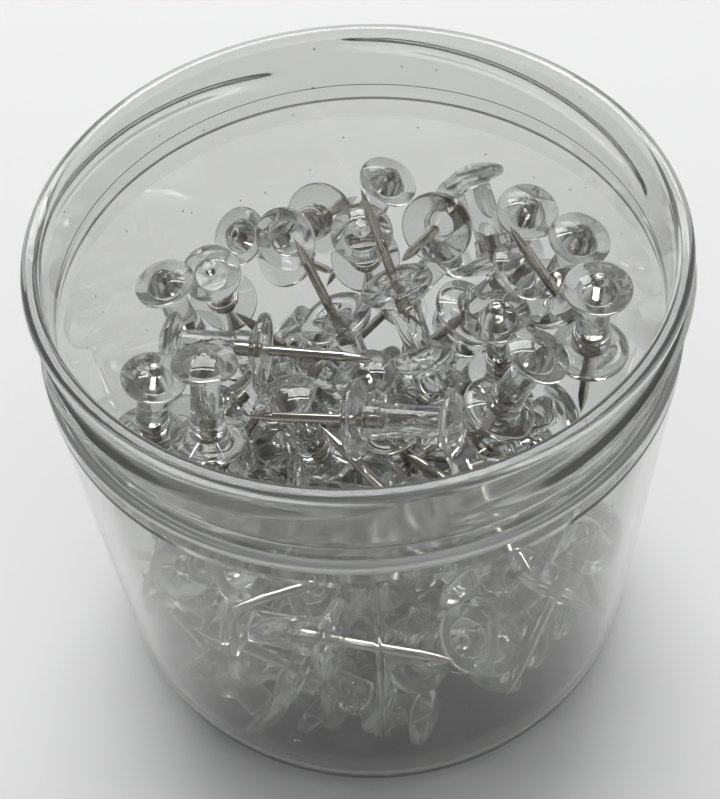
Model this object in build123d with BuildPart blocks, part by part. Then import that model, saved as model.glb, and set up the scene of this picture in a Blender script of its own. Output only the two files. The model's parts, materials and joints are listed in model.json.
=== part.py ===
from build123d import *
import os
import numpy as np

# An open, clear, screw-neck tub of loose push pins.
# Millimetres, +Z up, origin at the centre of the tub's underside.

# Tub
BODY_DIAMETER = 63.1
BODY_WALL = 1.3
BASE_THICKNESS = 1.6
BASE_ROUND = 5.4
TUB_HEIGHT = 59.4
NECK_STEP = 1.15
NECK_WALL = 1.1
NECK_HEIGHT = 9.6
SHOULDER_ROUND = 0.9
SHOULDER_SLOPE = 1.3
RIM_LIP = 0.5
RIM_LIP_HEIGHT = 1.4
RIM_ROUND = 0.6

# Pin head, one clear moulding with its flange at the needle's side
FLANGE_DIAMETER = 8.2
FLANGE_EDGE = 0.8
FLANGE_CROWN = 0.35
FLANGE_THICKNESS = 2.0
BOSS_DIAMETER = 4.0
BOSS_LENGTH = 1.7
GRIP_ROOT_DIAMETER = 3.5
GRIP_TOP_DIAMETER = 3.1
GRIP_LENGTH = 6.2
CAP_DIAMETER = 6.9
CAP_EDGE = 0.7
CAP_UNDERSIDE = 0.5
CAP_DOME = 1.1
EDGE_BEVEL = 0.35
EDGE_BEVEL_HEIGHT = 0.2

# Needle, pressed into the head as deep as its boss
NEEDLE_DIAMETER = 1.1
NEEDLE_REACH = 11.3
NEEDLE_POINT = 3.2
NEEDLE_TIP = 1.4
NEEDLE_TIP_DIAMETER = 0.62
PRESS_FIT = 0.02

# Pile
PIN_COUNT = 100
PIN_GAP = 0.12
PILE_TOP = 40.0
PILE_SEED = 4

# The pins on top: middle of the flange (x, y, z), the way the cap points (degrees from +X) and its rise
TOP_PINS = {
    "pin_01": ((-10, 4, 39), 170, 0),
    "pin_02": ((-2, -8, 41), -15, 10),
    "pin_03": ((-3, 8, 39), -20, -70),
    "pin_04": ((4, 10, 42), -50, -65),
    "pin_05": ((16, 12, 40), 105, 35),
    "pin_06": ((16, 4, 32), -140, 85),
    "pin_07": ((21, 6, 42), -5, -60),
    "pin_08": ((-17, -5, 34), 70, 75),
    "pin_09": ((1, 20, 35), -90, 60),
    "pin_10": ((-8, 25, 32), -135, 50),
    "pin_11": ((-3, 21, 41), -115, 30),
    "pin_12": ((-24, -1, 31), 0, 80),
    "pin_13": ((-5, -4, 28), 160, 70),
    "pin_14": ((24, 0, 39), -110, 85),
    "pin_15": ((18, 19, 35), -65, 70),
    "pin_16": ((9, 16, 43), 65, -25),
    "pin_17": ((14, -2, 34), -15, 70),
    "pin_18": ((12, 10, 35), -15, 55),
    "pin_19": ((-20, 14, 29), -175, 80),
    "pin_20": ((-17, 20, 29), -95, 65),
    "pin_21": ((0, 26, 34), -20, 65),
    "pin_22": ((3, 2, 26), -170, 75),
    "pin_23": ((22, 13, 35), -45, 75),
    "pin_24": ((5, 18, 29), -5, 55),
}

os.makedirs("parts", exist_ok=True)

body_radius = BODY_DIAMETER / 2
inner_radius = body_radius - BODY_WALL
neck_radius = body_radius - NECK_STEP
neck_inner_radius = neck_radius - NECK_WALL
rim_radius = neck_radius + RIM_LIP
shoulder_height = TUB_HEIGHT - NECK_HEIGHT
inner_round = BASE_ROUND - BODY_WALL

flange_radius = FLANGE_DIAMETER / 2
flange_edge_top = FLANGE_CROWN + FLANGE_EDGE
boss_radius = BOSS_DIAMETER / 2
step_height = FLANGE_THICKNESS + BOSS_LENGTH
cap_height = step_height + GRIP_LENGTH
cap_radius = CAP_DIAMETER / 2
cap_edge_low = cap_height + CAP_UNDERSIDE
cap_edge_high = cap_edge_low + CAP_EDGE
head_length = cap_edge_high + CAP_DOME
needle_radius = NEEDLE_DIAMETER / 2
bore_radius = needle_radius - PRESS_FIT
tip_height = -NEEDLE_REACH


# Tub: one revolved wall with a rounded base, a stepped-in neck and a lipped rim
def nearest_corner(corners, radius, height):
    return corners.sort_by_distance((radius, height, 0))[0]


with BuildPart() as tub:
    with BuildSketch(Plane.XZ) as tub_section:
        with BuildLine():
            Polyline(
                (0, 0),
                (body_radius, 0),
                (body_radius, shoulder_height),
                (neck_radius, shoulder_height),
                (neck_radius, TUB_HEIGHT - RIM_LIP_HEIGHT),
                (rim_radius, TUB_HEIGHT - RIM_LIP_HEIGHT + RIM_LIP),
                (rim_radius, TUB_HEIGHT),
                (neck_inner_radius, TUB_HEIGHT),
                (neck_inner_radius, shoulder_height),
                (inner_radius, shoulder_height - SHOULDER_SLOPE),
                (inner_radius, BASE_THICKNESS),
                (0, BASE_THICKNESS),
                close=True,
            )
        make_face()
        fillet(nearest_corner(tub_section.vertices(), body_radius, 0), BASE_ROUND)
        fillet(nearest_corner(tub_section.vertices(), inner_radius, BASE_THICKNESS), inner_round)
        fillet(nearest_corner(tub_section.vertices(), body_radius, shoulder_height), SHOULDER_ROUND)
        fillet(nearest_corner(tub_section.vertices(), rim_radius, TUB_HEIGHT), RIM_ROUND)
        fillet(nearest_corner(tub_section.vertices(), neck_inner_radius, TUB_HEIGHT), RIM_ROUND)
    revolve(axis=Axis.Z)
tub.part.label = "tub"
export_step(tub.part, "parts/tub.step")


# Pin head: flange, boss, tapered grip and domed cap round a blind bore
with BuildPart() as head:
    with BuildSketch(Plane.XZ):
        with BuildLine():
            dome_edge = (cap_radius - EDGE_BEVEL, cap_edge_high)
            dome_radius = (dome_edge[0] ** 2 + CAP_DOME**2) / (2 * CAP_DOME)
            head_side = Polyline(
                (bore_radius, 0),
                (flange_radius - EDGE_BEVEL, FLANGE_CROWN),
                (flange_radius, FLANGE_CROWN + EDGE_BEVEL_HEIGHT),
                (flange_radius, flange_edge_top - EDGE_BEVEL_HEIGHT),
                (flange_radius - EDGE_BEVEL, flange_edge_top),
                (boss_radius, FLANGE_THICKNESS),
                (boss_radius, step_height),
                (GRIP_ROOT_DIAMETER / 2, step_height),
                (GRIP_TOP_DIAMETER / 2, cap_height),
                (cap_radius - EDGE_BEVEL, cap_edge_low),
                (cap_radius, cap_edge_low + EDGE_BEVEL_HEIGHT),
                (cap_radius, cap_edge_high - EDGE_BEVEL_HEIGHT),
                dome_edge,
            )
            dome = RadiusArc(dome_edge, (0, head_length), -dome_radius)
            Polyline((0, head_length), (0, step_height), (bore_radius, step_height), (bore_radius, 0))
        make_face()
    revolve(axis=Axis.Z)

# Needle: a round wire with a long point
with BuildPart() as needle:
    with BuildSketch(Plane.XZ):
        with BuildLine():
            needle_side = Polyline(
                (0, tip_height),
                (NEEDLE_TIP_DIAMETER / 2, tip_height + NEEDLE_TIP),
                (needle_radius, tip_height + NEEDLE_POINT),
                (needle_radius, step_height + PRESS_FIT),
            )
            Polyline((needle_radius, step_height + PRESS_FIT), (0, step_height + PRESS_FIT), (0, tip_height))
        make_face()
    revolve(axis=Axis.Z)


# The pile is worked out from the pin's own outline: a table of distances to the skin of one pin,
# and small balls that fill the pin and feel for the skins of the others and for the tub's wall
TABLE_CELL = 0.08
TABLE_ROOM = 3.0
DOME_STEPS = 8
corners = [tuple(corner)[:2] for corner in needle_side.vertices()[:3]]
corners += [tuple(corner)[:2] for corner in head_side.vertices()]
corners += [tuple(dome @ (k / DOME_STEPS))[:2] for k in range(1, DOME_STEPS + 1)]
skin = np.array(corners)
table_low = tip_height - TABLE_ROOM


def skin_table():
    """Signed distance to the pin's skin over a grid of (radius, height), negative inside."""
    radii = np.arange(0, FLANGE_DIAMETER / 2 + TABLE_ROOM, TABLE_CELL)
    heights = np.arange(table_low, head_length + TABLE_ROOM, TABLE_CELL)
    grid = np.stack(np.meshgrid(radii, heights, indexing="ij"), -1)
    least = np.full(grid.shape[:2], np.inf)
    inside = np.zeros(grid.shape[:2], bool)
    for start, end in zip(skin[:-1], skin[1:]):
        along = end - start
        share = np.clip((grid - start) @ along / max(along @ along, 1e-12), 0, 1)
        away = grid - start - share[..., None] * along
        least = np.minimum(least, np.hypot(away[..., 0], away[..., 1]))
        spans = (start[1] > grid[..., 1]) != (end[1] > grid[..., 1])
        rise = along[1] if along[1] else 1.0
        crossing = start[0] + (grid[..., 1] - start[1]) / rise * along[0]
        inside ^= spans & (grid[..., 0] < crossing)
    return np.where(inside, -least, least).astype(np.float32)


def ball_ring(radius, height, ball, count):
    turns = np.arange(count) * 2 * np.pi / count
    return [(radius * np.cos(turn), radius * np.sin(turn), height, ball) for turn in turns]


def feeler_balls():
    """Balls (x, y, z, radius) that fill one pin up to its skin."""
    ball_step = 1.2
    balls = []
    for height in np.arange(tip_height + ball_step / 4, 0, ball_step):
        taper = min(1.0, (height - tip_height) / NEEDLE_POINT)
        balls.append((0, 0, height, needle_radius * taper))
    balls += ball_ring(flange_radius - FLANGE_EDGE / 2, FLANGE_CROWN + FLANGE_EDGE / 2, FLANGE_EDGE / 2, 18)
    balls += ball_ring(flange_radius * 0.6, FLANGE_THICKNESS * 0.48, FLANGE_THICKNESS * 0.32, 9)
    balls.append((0, 0, FLANGE_THICKNESS / 2, FLANGE_THICKNESS * 0.45))
    balls.append((0, 0, FLANGE_THICKNESS + BOSS_LENGTH / 2, boss_radius))
    for height in np.arange(step_height + ball_step / 2, cap_height, ball_step):
        share = (height - step_height) / GRIP_LENGTH
        balls.append((0, 0, height, (GRIP_ROOT_DIAMETER * (1 - share) + GRIP_TOP_DIAMETER * share) / 2))
    balls += ball_ring(cap_radius - CAP_EDGE / 2, cap_edge_low + CAP_EDGE / 2, CAP_EDGE / 2, 15)
    cap_ball = (head_length - cap_height) / 2
    balls += ball_ring(cap_radius * 0.55, cap_height + cap_ball, cap_ball * 0.65, 7)
    balls.append((0, 0, head_length - cap_ball, cap_ball))
    return np.array(balls, np.float32)


distance = skin_table()
balls = feeler_balls()
ball_radius = balls[:, 3]
balance = head_length * 0.37
# Bounds of one pin for a first look: ball heights along its axis and their radii
bound_heights = np.array([tip_height * 0.83, tip_height * 0.5, tip_height * 0.17, FLANGE_THICKNESS / 2,
                          step_height + GRIP_LENGTH * 0.2, step_height + GRIP_LENGTH * 0.65, cap_edge_high])
bound_radii = np.array([NEEDLE_REACH / 5] * 3 + [FLANGE_DIAMETER * 0.56] + [GRIP_LENGTH * 0.5] * 2
                       + [CAP_DIAMETER * 0.56])
rng = np.random.default_rng(PILE_SEED)


def ball_places(spots, ways):
    """Where the feeler balls of pins lie, for flange middles spots and unit axes ways."""
    other = np.where(np.abs(ways[..., :1]) < 0.8, (1.0, 0, 0), (0, 1.0, 0))
    across = np.cross(ways, other)
    across /= np.linalg.norm(across, axis=-1, keepdims=True)
    upright = np.cross(ways, across)
    places = spots[..., None, :] + balls[:, 0:1] * across[..., None, :]
    places = places + balls[:, 1:2] * upright[..., None, :] + balls[:, 2:3] * ways[..., None, :]
    return places.astype(np.float32)


def gap_to_pins(places, spots, ways):
    """Least gap from balls at places to the skins of pins."""
    away = places - spots[..., None, :].astype(np.float32)
    height = (away * ways[..., None, :].astype(np.float32)).sum(-1)
    radius = np.sqrt(np.maximum((away * away).sum(-1) - height * height, 0))
    row = np.minimum(radius / TABLE_CELL + 0.5, distance.shape[0] - 1).astype(int)
    column = np.clip((height - table_low) / TABLE_CELL + 0.5, 0, distance.shape[1] - 1).astype(int)
    return (distance[row, column] - ball_radius).min(-1)


def gap_to_tub(places):
    """Least gap from balls at places to the tub's wall, floor and inner corner."""
    to_wall = inner_radius - np.hypot(places[..., 0], places[..., 1])
    to_floor = places[..., 2] - BASE_THICKNESS
    in_corner = (to_wall < inner_round) & (to_floor < inner_round)
    to_corner = inner_round - np.hypot(inner_round - to_wall, inner_round - to_floor)
    return (np.where(in_corner, to_corner, np.minimum(to_wall, to_floor)) - ball_radius).min(-1)


def clear_gap(spots, ways, others):
    """Least gap of each trial pin to the tub and to the other pins, given as (spots, ways, places)."""
    places = ball_places(spots, ways)
    gap = gap_to_tub(places)
    if len(others[0]):
        felt = gap_to_pins(places[:, None], others[0][None], others[1][None]).min(1)
        met = gap_to_pins(others[2][None], spots[:, None], ways[:, None]).min(1)
        gap = np.minimum(gap, np.minimum(felt, met))
    return gap


def turned(ways, amount):
    """Unit axes turned a little, each its own way."""
    ways = ways + np.cross(rng.normal(size=ways.shape) * amount, ways)
    return ways / np.linalg.norm(ways, axis=-1, keepdims=True)


class Pile:
    """Pins that lie clear of each other: flange middles, axes and feeler balls."""

    def __init__(self):
        self.spots = np.zeros((0, 3))
        self.ways = np.zeros((0, 3))
        self.places = np.zeros((0, len(balls), 3), np.float32)

    def add(self, spot, way):
        self.spots = np.vstack([self.spots, spot])
        self.ways = np.vstack([self.ways, way])
        self.places = np.concatenate([self.places, ball_places(spot[None], way[None])])

    def near(self, spot, way, reach, skip=-1):
        """Pins whose bounds come within reach of a pin at spot."""
        mine = spot + bound_heights[:, None] * way
        theirs = self.spots[:, None] + bound_heights[:, None] * self.ways[:, None]
        apart = np.linalg.norm(theirs[:, :, None] - mine, axis=-1) - bound_radii[:, None] - bound_radii
        close = apart.min((1, 2)) < reach
        if skip >= 0:
            close[skip] = False
        return self.spots[close], self.ways[close], self.places[close]

    def place(self, spot, way):
        """Adds a pin at spot, or as near to it as it lies clear."""
        try_count = 96
        for spread in (0, 0.5, 1, 2, 3, 4.5, 6, 9):
            shift = rng.normal(size=(try_count, 3)) * spread
            spots = spot + shift
            ways = turned(np.repeat(way[None], try_count, 0), spread * 0.05)
            clear = clear_gap(spots, ways, (self.spots, self.ways, self.places)) > PIN_GAP
            if clear.any():
                best = np.argmin(np.where(clear, np.linalg.norm(shift, axis=1), np.inf))
                self.add(spots[best], ways[best])
                return

    def tuck_in(self):
        """Adds one pin lying any way in free room below the top of the pile, if a try finds such room."""
        try_count = 120
        turn = rng.uniform(0, 2 * np.pi, try_count)
        radius = (inner_radius - boss_radius) * rng.uniform(0, 1, try_count) ** 0.35
        height = rng.uniform(BASE_THICKNESS, PILE_TOP, try_count)
        spots = np.stack([radius * np.cos(turn), radius * np.sin(turn), height], 1)
        ways = rng.normal(size=(try_count, 3)) * (1, 1, 0.6)
        ways /= np.linalg.norm(ways, axis=1, keepdims=True)
        places = ball_places(spots, ways)
        fits = (gap_to_tub(places) > PIN_GAP) & (places[..., 2].max(1) < PILE_TOP)
        if fits.any():
            spots, ways = spots[fits], ways[fits]
            clear = clear_gap(spots, ways, (self.spots, self.ways, self.places)) > PIN_GAP
            if clear.any():
                best = np.argmin(np.where(clear, spots[:, 2], np.inf))
                self.add(spots[best], ways[best])

    def settle(self, first, sweep_count, slide, spin, drop, shake=0.0):
        """Lets pins from number first on sink, lowest first, by small moves that stay clear.

        With shake, some moves go sideways instead, and the lowest one isn't always taken."""
        try_count = 14
        level_count = 6
        level_rise = 0.05
        for sweep in range(sweep_count):
            calm = 1 - 0.7 * sweep / sweep_count
            for pin in first + np.argsort(self.spots[first:, 2] + balance * self.ways[first:, 2]):
                middle = self.spots[pin] + balance * self.ways[pin]
                ways = turned(np.repeat(self.ways[pin][None], try_count, 0), spin * calm)
                shift = rng.normal(size=(try_count, 3)) * slide * calm
                shift[:, 2] = -np.abs(rng.normal(size=try_count)) * drop * calm
                shift[:3] = np.outer((drop * 2 * calm, drop * 0.5 * calm, PIN_GAP), (0, 0, -1))
                ways[:3] = self.ways[pin]
                if shake:
                    shift[-level_count:, 2] = rng.normal(size=level_count) * level_rise
                    shift[-level_count:, :2] *= 1.5
                spots = middle + shift - balance * ways
                others = self.near(self.spots[pin], self.ways[pin], drop * 2.5, pin)
                clear = clear_gap(spots, ways, others) > PIN_GAP
                if clear.any():
                    score = shift[:, 2] + shake * rng.normal(size=try_count)
                    best = np.argmin(np.where(clear, score, np.inf))
                    self.spots[pin], self.ways[pin] = spots[best], ways[best]
                    self.places[pin] = ball_places(spots[best], ways[best])

    def rest(self):
        """Lets each pin that touches nothing straight down, lowest first, until something carries it."""
        drops = np.arange(120) * PIN_GAP / 2
        for pin in np.argsort(self.places[..., 2].min(1)):
            spots = self.spots[pin] - np.outer(drops, (0, 0, 1))
            ways = np.repeat(self.ways[pin][None], len(drops), 0)
            others = self.near(self.spots[pin], self.ways[pin], drops[-1], pin)
            carried = clear_gap(spots, ways, others) <= 2 * PIN_GAP
            self.spots[pin] = spots[np.argmax(carried)]
            self.places[pin] = ball_places(self.spots[pin], self.ways[pin])


def heap_pins():
    """The top pins in their places, then pins tucked in and settled below them, then all let down."""
    pile = Pile()
    for spot, heading, rise in TOP_PINS.values():
        heading, rise = np.radians(heading), np.radians(rise)
        way = np.array([np.cos(rise) * np.cos(heading), np.cos(rise) * np.sin(heading), np.sin(rise)])
        pile.place(np.array(spot, float), way)
    top_count = len(pile.spots)
    round_count = 34
    for _ in range(round_count):
        for _ in range(8):
            if len(pile.spots) < PIN_COUNT:
                pile.tuck_in()
        pile.settle(top_count, 3, slide=0.5, spin=0.12, drop=1.6, shake=0.09)
    pile.settle(0, 4, slide=0.1, spin=0.02, drop=0.15)
    pile.rest()
    return pile


pile = heap_pins()


def at_place(solid, spot, way):
    """A copy of one pin's solid with its flange at spot and its axis along way."""
    return Plane(origin=tuple(spot), z_dir=tuple(way)).location * solid


def write_node(name, shape):
    shape.label = name
    export_step(shape, f"parts/{name}.step")


for name, spot, way in zip(TOP_PINS, pile.spots, pile.ways):
    write_node(f"{name}_head", at_place(head.part, spot, way))
    write_node(f"{name}_needle", at_place(needle.part, spot, way))

lower = list(zip(pile.spots, pile.ways))[len(TOP_PINS):]
write_node("lower_pin_heads", Compound([at_place(head.part, *place) for place in lower]))
write_node("lower_pin_needles", Compound([at_place(needle.part, *place) for place in lower]))
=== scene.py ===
"""Looks of an open clear tub of push pins: clear plastic, steel needles, floor, lamps and camera."""
import json
import math

import bpy
from mathutils import Matrix, Vector

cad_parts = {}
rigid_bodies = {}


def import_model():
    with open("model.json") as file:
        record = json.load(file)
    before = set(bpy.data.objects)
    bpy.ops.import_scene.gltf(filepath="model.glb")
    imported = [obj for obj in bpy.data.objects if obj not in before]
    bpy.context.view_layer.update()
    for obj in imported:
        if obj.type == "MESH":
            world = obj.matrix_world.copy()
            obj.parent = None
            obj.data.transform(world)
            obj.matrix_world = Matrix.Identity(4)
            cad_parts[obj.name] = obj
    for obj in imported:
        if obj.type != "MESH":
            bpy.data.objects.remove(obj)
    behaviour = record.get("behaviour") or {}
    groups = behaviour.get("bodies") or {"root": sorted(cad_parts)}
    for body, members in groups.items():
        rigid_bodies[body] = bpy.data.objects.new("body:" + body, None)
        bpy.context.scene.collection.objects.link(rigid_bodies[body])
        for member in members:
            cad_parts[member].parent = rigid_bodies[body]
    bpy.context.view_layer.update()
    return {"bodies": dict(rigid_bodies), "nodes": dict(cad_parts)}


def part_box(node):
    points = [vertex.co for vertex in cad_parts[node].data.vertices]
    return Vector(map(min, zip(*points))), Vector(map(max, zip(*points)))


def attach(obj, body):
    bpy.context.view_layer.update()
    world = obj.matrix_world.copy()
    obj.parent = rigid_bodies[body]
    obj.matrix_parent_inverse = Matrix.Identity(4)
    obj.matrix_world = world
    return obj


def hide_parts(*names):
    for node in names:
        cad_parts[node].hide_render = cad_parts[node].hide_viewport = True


MM = 0.001

# Tub shell, in millimetres; its outer radius and height come from the frame
BODY_WALL = 1.3
BASE_THICKNESS = 1.6
BASE_ROUND = 5.4
NECK_RADIUS = 30.4
NECK_WALL = 1.1
NECK_HEIGHT = 9.6
NECK_FOOT_ROUND = 0.35
NECK_STEP = 0.15
NECK_STEP_HIGH = 2.0
SHOULDER_ROUND = 0.45
WALL_STEP_IN = 0.07
WALL_STEP_LOW = 1.9
WALL_STEP_DROP = 0.6
STEP_ROUND = 0.05
SLOPE_ABOVE = 2.0
SLOPE_BELOW = 2.6
SLOPE_ROUND = 0.5
RIM_LIP = 0.5
RIM_LIP_HEIGHT = 1.4
RIM_LIP_ROUND = 0.125
RIM_ROUND = 0.6

# Thread on the neck, in millimetres and degrees; the taper at each end is a share of a ridge
THREAD_STARTS = 4
THREAD_FIRST = 93.0
THREAD_SWEEP = 81.0
THREAD_TOP = 1.9
THREAD_DROP = 3.4
THREAD_HEIGHT = 1.0
THREAD_HALF_WIDTH = 1.15
THREAD_TAPER = 0.25

# Mould seam down the front of the wall: turn and half width in degrees, height in millimetres
SEAM_TURN = -91.0
SEAM_HALF_WIDTH = 0.4
SEAM_HEIGHT = 0.05

# Fineness of the shell: steps round the axis, in a round and beside the seam; spacings in millimetres
SHELL_TURN_STEPS = 384
SHELL_ARC_STEPS = 7
SEAM_STEPS = 3
WALL_SPACING = 4.0
THREAD_SPACING = 0.1
ON_SURFACE = 0.01

# Pin head, in millimetres along the pin from the needle's side of its flange
BORE_RADIUS = 0.53
FLANGE_RADIUS = 4.1
FLANGE_LOW = 0.35
FLANGE_HIGH = 1.15
FLANGE_ROUND = 0.36
BOSS_LOW = 2.0
BOSS_HIGH = 3.7
BOSS_RADIUS = 2.0
BOSS_ROUND = 0.18
GRIP_ROOT_RADIUS = 1.75
GRIP_ROOT_ROUND = 0.045
GRIP_TOP_RADIUS = 1.55
GRIP_HIGH = 9.9
GRIP_ROUND = 0.4
CAP_RADIUS = 3.45
CAP_LOW = 10.4
CAP_HIGH = 11.0
CAP_ROUND = 0.3
CAP_TOP = 12.2
NUB_RADIUS = 0.5
NUB_TOP_RADIUS = 0.4
NUB_HEIGHT = 0.06

# Fineness of the heads: steps round the axis and in a round
HEAD_TURN_STEPS = 56
HEAD_ARC_STEPS = 5
LOWER_HEAD_TURN_STEPS = 36
LOWER_HEAD_ARC_STEPS = 3

# Needle: reach out of its head and length taken as an end, in millimetres; digits kept of a point
NEEDLE_REACH = 11.3
NEEDLE_END = 0.2
SPOT_DIGITS = 4

# Clear plastic: tint, share of clear light, roughness where smooth and where rubbed, shade on lamp light
PLASTIC_IOR = 1.5
WALL_TINT = (0.765, 0.775, 0.762, 1)
WALL_CLEAR = 0.985
WALL_ROUGH = (0.005, 0.02)
NECK_TINT = (0.78, 0.79, 0.777, 1)
NECK_CLEAR = 0.9
NECK_ROUGH = (0.05, 0.12)
LEDGE_TINT = (0.87, 0.88, 0.87, 1)
LEDGE_CLEAR = 0.62
LEDGE_ROUGH = (0.02, 0.08)
LEDGE_FROST = 0.12
TUB_SHADE = (0.8, 0.805, 0.8, 1)
HEAD_TINT = (0.85, 0.855, 0.843, 1)
HEAD_CLEAR = 0.965
HEAD_ROUGH = (0.01, 0.07)
HEAD_SHADE = (0.72, 0.725, 0.72, 1)

# Dust on the tub: colour, cells to a metre, full and fading radius as shares of a cell
DUST = (0.12, 0.12, 0.11, 1)
DUST_SCALE = 320
DUST_RADIUS = 0.035
DUST_EDGE = 0.06

# Steel of the needles
STEEL_DARK = (0.34, 0.325, 0.298, 1)
STEEL_PALE = (0.62, 0.598, 0.553, 1)
STEEL_ROUGH = (0.03, 0.1)

# Floor, a wide disc just under the tub, in millimetres
FLOOR_RADIUS = 550.0
FLOOR_DROP = 0.02
FLOOR_STEPS = 128
FLOOR_DARK = (0.88, 0.88, 0.88, 1)
FLOOR_PALE = (0.92, 0.92, 0.92, 1)

# Lamps: place and size in metres, power in watts
LAMPS = {
    "window": {"place": (0.0, 0.85, 1.1), "size": (0.95, 0.55), "power": 12.8},
    "ceiling": {"place": (0.3, -0.2, 1.4), "size": (0.5, 0.5), "power": 1.3},
    "strip": {"place": (0.0, 0.45, 1.2), "size": (1.0, 0.06), "power": 3.2},
}
LAMP_AIM = (0, 0, 0.03)

# Room light, from the horizon at 0 to straight above at 1
ROOM_LOW = (0.15, (0.6, 0.6, 0.6, 1))
ROOM_MIDDLE = (0.5, (0.11, 0.11, 0.11, 1))
ROOM_TOP = (1.0, (0.19, 0.19, 0.195, 1))

# Camera, in millimetres and degrees
CAMERA_PLACE = (-0.66, -83.0, 138.3)
CAMERA_DOWN = 51.79
CAMERA_ROLL = -4.0
CAMERA_LENS = 55.31
CAMERA_SENSOR = 36.0
CAMERA_NEAR = 10.0

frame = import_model()
nodes = frame["nodes"]


# Node helpers
def new_material(name):
    material = bpy.data.materials.new(name)
    material.use_nodes = True
    tree = material.node_tree
    tree.nodes.clear()
    return material, tree


def add(tree, kind, **inputs):
    """A new node with constants on its inputs, whose names have _ for a space."""
    node = tree.nodes.new(kind)
    for name, value in inputs.items():
        node.inputs[name.replace("_", " ")].default_value = value
    return node


def noise(tree, scale, detail, stretch=(1, 1, 1)):
    """Noise over the object's own coordinates, stretched along its axes."""
    place = add(tree, "ShaderNodeTexCoord")
    mapping = add(tree, "ShaderNodeMapping", Scale=stretch)
    tree.links.new(place.outputs["Object"], mapping.inputs["Vector"])
    texture = add(tree, "ShaderNodeTexNoise", Scale=scale, Detail=detail)
    tree.links.new(mapping.outputs["Vector"], texture.inputs["Vector"])
    return texture.outputs["Fac"]


def ramp(tree, value, low, high, wanted):
    """A value between low and high taken to the wanted pair."""
    node = add(tree, "ShaderNodeMapRange", From_Min=low, From_Max=high, To_Min=wanted[0], To_Max=wanted[1])
    tree.links.new(value, node.inputs["Value"])
    return node.outputs["Result"]


def tints(tree, value, first, last, *more):
    """Colour through stops of (value, colour)."""
    node = add(tree, "ShaderNodeValToRGB")
    stops = node.color_ramp.elements
    stops[0].position, stops[0].color = first
    stops[1].position, stops[1].color = last
    for position, colour in more:
        stops.new(position).color = colour
    tree.links.new(value, node.inputs["Fac"])
    return node.outputs["Color"]


def specks(tree, clear):
    """Clear colour with small dark specks of dust here and there."""
    place = add(tree, "ShaderNodeTexCoord")
    cells = add(tree, "ShaderNodeTexVoronoi", Scale=DUST_SCALE)
    tree.links.new(place.outputs["Object"], cells.inputs["Vector"])
    return tints(tree, cells.outputs["Distance"], (DUST_RADIUS, DUST), (DUST_EDGE, clear))


def bump(tree, height, strength, depth):
    """Normal of a surface that a height from 0 to 1 raises by up to a depth in millimetres."""
    node = add(tree, "ShaderNodeBump", Strength=strength, Distance=depth * MM)
    tree.links.new(height, node.inputs["Height"])
    return node.outputs["Normal"]


def clear_output(tree, surface, shade):
    """Output of a clear surface, which lets lamp light through with a little shade."""
    path = add(tree, "ShaderNodeLightPath")
    through = add(tree, "ShaderNodeBsdfTransparent", Color=shade)
    mix = add(tree, "ShaderNodeMixShader")
    output = add(tree, "ShaderNodeOutputMaterial")
    tree.links.new(path.outputs["Is Shadow Ray"], mix.inputs["Fac"])
    tree.links.new(surface, mix.inputs[1])
    tree.links.new(through.outputs["BSDF"], mix.inputs[2])
    tree.links.new(mix.outputs["Shader"], output.inputs["Surface"])


# Materials
def tub_plastic(name, tint, clear, rough, frost=0.0):
    """Clear moulded wall: faintly grey, a little hazy, with dust, rub marks and flow waves."""
    material, tree = new_material(name)
    shader = add(tree, "ShaderNodeBsdfPrincipled", IOR=PLASTIC_IOR, Transmission_Weight=clear)
    tree.links.new(specks(tree, tint), shader.inputs["Base Color"])
    rubs = noise(tree, scale=60, detail=6, stretch=(1, 1, 0.35))
    tree.links.new(ramp(tree, rubs, low=0.4, high=0.75, wanted=rough), shader.inputs["Roughness"])
    waves = noise(tree, scale=45, detail=2, stretch=(1, 1, 0.5))
    tree.links.new(bump(tree, waves, strength=0.05, depth=0.6), shader.inputs["Normal"])
    surface = shader.outputs["BSDF"]
    if frost:
        glow = add(tree, "ShaderNodeBsdfTranslucent", Color=tint)
        mix = add(tree, "ShaderNodeMixShader", Fac=frost)
        tree.links.new(surface, mix.inputs[1])
        tree.links.new(glow.outputs["BSDF"], mix.inputs[2])
        surface = mix.outputs["Shader"]
    clear_output(tree, surface, TUB_SHADE)
    return material


def head_plastic():
    """Clear moulded pin head: glossy, with faint sink waves."""
    material, tree = new_material("clear_head")
    shader = add(tree, "ShaderNodeBsdfPrincipled", IOR=PLASTIC_IOR, Transmission_Weight=HEAD_CLEAR)
    shader.inputs["Base Color"].default_value = HEAD_TINT
    rubs = noise(tree, scale=260, detail=4)
    tree.links.new(ramp(tree, rubs, low=0.4, high=0.8, wanted=HEAD_ROUGH), shader.inputs["Roughness"])
    waves = noise(tree, scale=320, detail=2)
    tree.links.new(bump(tree, waves, strength=0.07, depth=0.2), shader.inputs["Normal"])
    clear_output(tree, shader.outputs["BSDF"], HEAD_SHADE)
    return material


def needle_steel():
    """Polished steel wire: fine mottling and a warm cast."""
    material, tree = new_material("needle_steel")
    shader = add(tree, "ShaderNodeBsdfPrincipled", Metallic=1.0)
    output = add(tree, "ShaderNodeOutputMaterial")
    grain = noise(tree, scale=900, detail=5)
    tree.links.new(tints(tree, grain, (0, STEEL_DARK), (1, STEEL_PALE)), shader.inputs["Base Color"])
    tree.links.new(ramp(tree, grain, low=0.3, high=0.7, wanted=STEEL_ROUGH), shader.inputs["Roughness"])
    tree.links.new(bump(tree, grain, strength=0.12, depth=0.04), shader.inputs["Normal"])
    tree.links.new(shader.outputs["BSDF"], output.inputs["Surface"])
    return material


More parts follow.
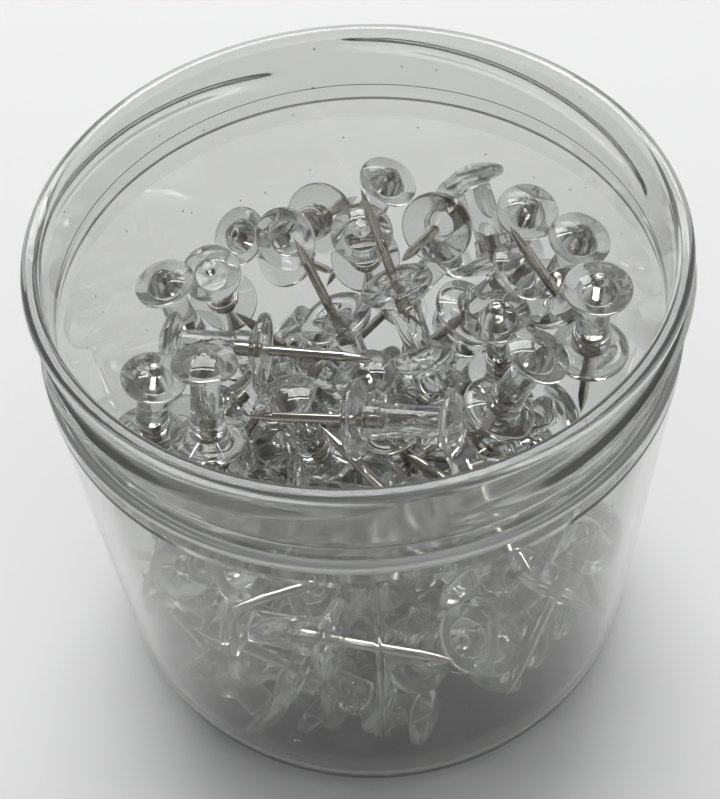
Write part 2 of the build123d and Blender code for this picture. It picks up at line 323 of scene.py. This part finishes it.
def pale_floor():
    """Dull pale floor, faintly mottled."""
    material, tree = new_material("pale_floor")
    shader = add(tree, "ShaderNodeBsdfPrincipled", Roughness=0.9, Specular_IOR_Level=0.1)
    output = add(tree, "ShaderNodeOutputMaterial")
    mottling = noise(tree, scale=3, detail=2)
    tree.links.new(tints(tree, mottling, (0, FLOOR_DARK), (1, FLOOR_PALE)), shader.inputs["Base Color"])
    tree.links.new(shader.outputs["BSDF"], output.inputs["Surface"])
    return material


def dress(piece, *materials):
    piece.data.materials.clear()
    for material in materials:
        piece.data.materials.append(material)


# Turned shapes
def rounded_outline(corners, arc_steps):
    """Points along an open outline of (radius, height, rounding) corners, with each corner as an arc."""
    points = []
    for index, (radius, height, rounding) in enumerate(corners):
        here = Vector((radius, height))
        if rounding == 0:
            points.append(here)
            continue
        before = (Vector(corners[index - 1][:2]) - here).normalized()
        after = (Vector(corners[index + 1][:2]) - here).normalized()
        half = before.angle(after) / 2
        middle = here + (before + after).normalized() * (rounding / math.sin(half))
        first = here + before * (rounding / math.tan(half)) - middle
        last = here + after * (rounding / math.tan(half)) - middle
        turn = first.angle_signed(last)
        for step in range(arc_steps + 1):
            points.append(middle + Matrix.Rotation(-turn * step / arc_steps, 2) @ first)
    return points


def divided(start, end, spacing):
    """Points from start to end, both left out, about a spacing apart."""
    count = max(1, round((end - start).length / spacing))
    return [start.lerp(end, share / count) for share in range(1, count)]


def turned_shape(profile, turns, rise=None):
    """Corners and faces of a profile that starts and ends on the axis, turned to angles in degrees."""
    ring = len(profile) - 2
    corners = []
    for turn in turns:
        cos, sin = math.cos(math.radians(turn)), math.sin(math.radians(turn))
        for point in profile[1:-1]:
            radius = point.x + (rise(turn, point) if rise else 0)
            corners.append(Vector((radius * cos, radius * sin, point.y)) * MM)
    first = len(corners)
    corners += [Vector((0, 0, end.y)) * MM for end in (profile[0], profile[-1])]
    faces = []
    for k in range(len(turns)):
        a, b = k * ring, (k + 1) % len(turns) * ring
        faces += [(a + i, b + i, b + i + 1, a + i + 1) for i in range(ring - 1)]
        faces.append((first, b, a))
        faces.append((first + 1, a + ring - 1, b + ring - 1))
    return corners, faces


def even_turns(count):
    """Angles in degrees, spread evenly over a full turn from -180."""
    return [360.0 * k / count - 180 for k in range(count)]


def new_piece(name, corners, faces):
    mesh = bpy.data.meshes.new(name)
    mesh.from_pydata(corners, [], faces)
    mesh.shade_smooth()
    piece = bpy.data.objects.new(name, mesh)
    bpy.context.scene.collection.objects.link(piece)
    return piece


# Tub shell
def thread_rise(turn, height, rim):
    """How far the thread stands out of the neck: ridges that start below the rim and run down clockwise."""
    along = ((THREAD_FIRST - turn) % (360.0 / THREAD_STARTS)) / THREAD_SWEEP
    across = abs(height - (rim - THREAD_TOP - THREAD_DROP * along)) / THREAD_HALF_WIDTH
    if along > 1 or across > 1:
        return 0.0
    end = min(1.0, along / THREAD_TAPER, (1 - along) / THREAD_TAPER)
    return THREAD_HEIGHT * math.sin(end * math.pi / 2) * (1 + math.cos(across * math.pi)) / 2


def seam_rise(turn):
    """How far the seam stands out of the wall, as a bell curve over the turn."""
    away = (turn - SEAM_TURN + 180) % 360 - 180
    return SEAM_HEIGHT * math.exp(-2 * (away / SEAM_HALF_WIDTH) ** 2)


def tub_shell(wall_material, neck_material, ledge_material):
    """The tub as one turned shell: wall with its seam, neck with its thread, and the ledge between them."""
    low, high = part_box("tub")
    body = (high.x - low.x) / 2 / MM
    rim = high.z / MM
    shoulder = rim - NECK_HEIGHT
    inner = body - BODY_WALL
    neck_inner = NECK_RADIUS - NECK_WALL
    lip_low = rim - RIM_LIP_HEIGHT
    outline = rounded_outline([
        (0, 0, 0),
        (body, 0, BASE_ROUND),
        (body, shoulder - WALL_STEP_LOW - WALL_STEP_DROP, STEP_ROUND),
        (body - WALL_STEP_IN, shoulder - WALL_STEP_LOW, STEP_ROUND),
        (body - WALL_STEP_IN, shoulder, SHOULDER_ROUND),
        (NECK_RADIUS + NECK_STEP, shoulder, NECK_FOOT_ROUND),
        (NECK_RADIUS + NECK_STEP, shoulder + NECK_STEP_HIGH, STEP_ROUND),
        (NECK_RADIUS, shoulder + NECK_STEP_HIGH + NECK_STEP, STEP_ROUND),
        (NECK_RADIUS, lip_low, RIM_LIP_ROUND),
        (NECK_RADIUS + RIM_LIP, lip_low + RIM_LIP, RIM_LIP_ROUND),
        (NECK_RADIUS + RIM_LIP, rim, RIM_ROUND),
        (neck_inner, rim, RIM_ROUND),
        (neck_inner, shoulder + SLOPE_ABOVE, SLOPE_ROUND),
        (inner, shoulder - SLOPE_BELOW, SLOPE_ROUND),
        (inner, BASE_THICKNESS, BASE_ROUND - BODY_WALL),
        (0, BASE_THICKNESS, 0),
    ], SHELL_ARC_STEPS)

    def on_neck(point):
        return abs(point.x - NECK_RADIUS) < ON_SURFACE and shoulder < point.y < lip_low

    def rise(turn, point):
        if on_neck(point):
            return thread_rise(turn, point.y, rim)
        return seam_rise(turn) if abs(point.x - body) < ON_SURFACE else 0.0

    profile = outline[:1]
    for start, end in zip(outline[:-1], outline[1:]):
        profile += divided(start, end, THREAD_SPACING if on_neck(start) and on_neck(end) else WALL_SPACING)
        profile.append(end)
    seam_turns = [SEAM_TURN + SEAM_HALF_WIDTH * k / 2 for k in range(-SEAM_STEPS, SEAM_STEPS + 1)]
    turns = sorted(even_turns(SHELL_TURN_STEPS) + seam_turns)
    shell = new_piece("tub_shell", *turned_shape(profile, turns, rise))
    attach(shell, "tub_and_pile")
    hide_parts("tub")
    dress(shell, wall_material, neck_material, ledge_material)
    neck_index, ledge_index = 1, 2
    for face in shell.data.polygons:
        radius, height = face.center.xy.length / MM, face.center.z / MM
        if height > shoulder - SHOULDER_ROUND:
            on_ledge = radius > NECK_RADIUS and height < shoulder + NECK_FOOT_ROUND
            face.material_index = ledge_index if on_ledge else neck_index


# Pin heads
def head_shape(turn_steps, arc_steps):
    """Corners and faces of a head: flange, boss, grip and domed cap with a nub, round the bore."""
    dome_radius = (CAP_RADIUS**2 + (CAP_TOP - CAP_HIGH) ** 2) / (2 * (CAP_TOP - CAP_HIGH))
    dome_turn = math.asin(CAP_RADIUS / dome_radius)
    nub_turn = math.asin(NUB_RADIUS / dome_radius)
    dome = []
    for k in range(1, arc_steps + 1):
        turn = dome_turn + (nub_turn - dome_turn) * k / arc_steps
        dome.append((dome_radius * math.sin(turn), CAP_TOP - dome_radius * (1 - math.cos(turn)), 0))
    profile = rounded_outline([
        (0, BOSS_HIGH, 0),
        (BORE_RADIUS, BOSS_HIGH, 0),
        (BORE_RADIUS, 0, 0),
        (FLANGE_RADIUS, FLANGE_LOW, FLANGE_ROUND),
        (FLANGE_RADIUS, FLANGE_HIGH, FLANGE_ROUND),
        (BOSS_RADIUS, BOSS_LOW, BOSS_ROUND),
        (BOSS_RADIUS, BOSS_HIGH, BOSS_ROUND),
        (GRIP_ROOT_RADIUS, BOSS_HIGH, GRIP_ROOT_ROUND),
        (GRIP_TOP_RADIUS, GRIP_HIGH, GRIP_ROUND),
        (CAP_RADIUS, CAP_LOW, CAP_ROUND),
        (CAP_RADIUS, CAP_HIGH, CAP_ROUND),
        *dome,
        (NUB_TOP_RADIUS, CAP_TOP + NUB_HEIGHT, 0),
        (0, CAP_TOP + NUB_HEIGHT, 0),
    ], arc_steps)
    return turned_shape(profile, even_turns(turn_steps))


def separate_solids(node):
    """Corner points of each separate solid of a node."""
    spots = {}
    ids = []
    for vertex in node.data.vertices:
        spot = tuple(round(length / MM, SPOT_DIGITS) for length in vertex.co)
        ids.append(spots.setdefault(spot, len(spots)))
    leader = list(range(len(spots)))

    def first(k):
        while leader[k] != k:
            leader[k] = leader[leader[k]]
            k = leader[k]
        return k

    for face in node.data.polygons:
        for corner in face.vertices:
            leader[first(ids[corner])] = first(ids[face.vertices[0]])
    solids = {}
    for spot, k in spots.items():
        solids.setdefault(first(k), []).append(node.matrix_world @ (Vector(spot) * MM))
    return list(solids.values())


def pin_place(needle):
    """Where a pin lies, from the corner points of its needle: flange at the origin, cap along +Z."""
    one = max(needle, key=lambda p: (p - needle[0]).length)
    other = max(needle, key=lambda p: (p - one).length)
    axis = (other - one).normalized()

    def width(end):
        return max((p - end).length for p in needle if abs((p - end).dot(axis)) < NEEDLE_END * MM)

    tip = min(one, other, key=width)
    reach = max((p - tip).length for p in needle)
    butt = [p for p in needle if (p - tip).length > reach - NEEDLE_END * MM]
    way = (sum(butt, Vector()) / len(butt) - tip).normalized()
    flange = tip + way * NEEDLE_REACH * MM
    return Matrix.Translation(flange) @ way.to_track_quat("Z", "Y").to_matrix().to_4x4()


def pin_heads(material):
    """A head on each needle of the frame; the heads of the lower pins are one piece."""
    corners, faces = head_shape(HEAD_TURN_STEPS, HEAD_ARC_STEPS)
    lower_corners, lower_faces = head_shape(LOWER_HEAD_TURN_STEPS, LOWER_HEAD_ARC_STEPS)
    for name, node in nodes.items():
        if not name.endswith(("_head", "_heads")):
            continue
        places = [pin_place(solid) for solid in separate_solids(nodes[name.replace("head", "needle")])]
        if len(places) == 1:
            piece = new_piece(f"{name}_moulding", corners, faces)
            piece.matrix_world = places[0]
        else:
            all_corners = [place @ corner for place in places for corner in lower_corners]
            shifts = [k * len(lower_corners) for k in range(len(places))]
            all_faces = [tuple(i + shift for i in face) for shift in shifts for face in lower_faces]
            piece = new_piece(f"{name}_moulding", all_corners, all_faces)
        bpy.context.view_layer.update()
        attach(piece, next(body for body, empty in frame["bodies"].items() if empty is node.parent))
        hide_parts(name)
        dress(piece, material)


# Needles
def needles(material):
    for name, node in nodes.items():
        if "needle" in name:
            dress(node, material)


# Studio
def floor(material):
    corners = []
    for turn in even_turns(FLOOR_STEPS):
        way = Vector((math.cos(math.radians(turn)), math.sin(math.radians(turn)), 0))
        corners.append(way * FLOOR_RADIUS * MM)
    plane = new_piece("floor", corners, [tuple(range(FLOOR_STEPS))])
    plane.location.z = -FLOOR_DROP * MM
    dress(plane, material)


def area_light(name, place, size, power):
    light = bpy.data.lights.new(name, "AREA")
    light.shape = "RECTANGLE"
    light.size, light.size_y = size
    light.energy = power
    lamp = bpy.data.objects.new(name, light)
    lamp.location = place
    lamp.rotation_euler = (Vector(LAMP_AIM) - Vector(place)).to_track_quat("-Z", "Y").to_euler()
    bpy.context.scene.collection.objects.link(lamp)


def world():
    """Soft room light: pale near the horizon, grey above."""
    room = bpy.data.worlds.new("room")
    bpy.context.scene.world = room
    room.use_nodes = True
    tree = room.node_tree
    tree.nodes.clear()
    place = add(tree, "ShaderNodeTexCoord")
    split = add(tree, "ShaderNodeSeparateXYZ")
    tree.links.new(place.outputs["Generated"], split.inputs["Vector"])
    background = add(tree, "ShaderNodeBackground")
    output = add(tree, "ShaderNodeOutputWorld")
    shade = tints(tree, split.outputs["Z"], ROOM_LOW, ROOM_MIDDLE, ROOM_TOP)
    tree.links.new(shade, background.inputs["Color"])
    tree.links.new(background.outputs["Background"], output.inputs["Surface"])


def camera():
    """View from the front and above, a little rolled."""
    down, roll = math.radians(CAMERA_DOWN), math.radians(CAMERA_ROLL)
    forward = Vector((0, math.cos(down), -math.sin(down)))
    level = Vector((1, 0, 0))
    upright = level.cross(forward)
    right = math.cos(roll) * level + math.sin(roll) * upright
    up = math.cos(roll) * upright - math.sin(roll) * level
    data = bpy.data.cameras.new("camera")
    data.lens = CAMERA_LENS
    data.sensor_width = CAMERA_SENSOR
    data.clip_start = CAMERA_NEAR * MM
    eye = bpy.data.objects.new("camera", data)
    turn = Matrix((right, up, -forward)).transposed().to_4x4()
    eye.matrix_world = Matrix.Translation(Vector(CAMERA_PLACE) * MM) @ turn
    bpy.context.scene.collection.objects.link(eye)
    bpy.context.scene.camera = eye


def light_paths():
    """Enough bounces to see through a heap of clear pins."""
    cycles = bpy.context.scene.cycles
    cycles.max_bounces = 40
    cycles.transmission_bounces = 40
    cycles.transparent_max_bounces = 64
    cycles.glossy_bounces = 12
    cycles.diffuse_bounces = 4
    cycles.caustics_reflective = False
    cycles.caustics_refractive = False


tub_shell(
    tub_plastic("clear_wall", WALL_TINT, WALL_CLEAR, WALL_ROUGH),
    tub_plastic("clear_neck", NECK_TINT, NECK_CLEAR, NECK_ROUGH),
    tub_plastic("scuffed_ledge", LEDGE_TINT, LEDGE_CLEAR, LEDGE_ROUGH, LEDGE_FROST),
)
pin_heads(head_plastic())
needles(needle_steel())
floor(pale_floor())
for name, lamp in LAMPS.items():
    area_light(name, **lamp)
world()
camera()
light_paths()
bpy.context.scene.view_settings.view_transform = "Standard"
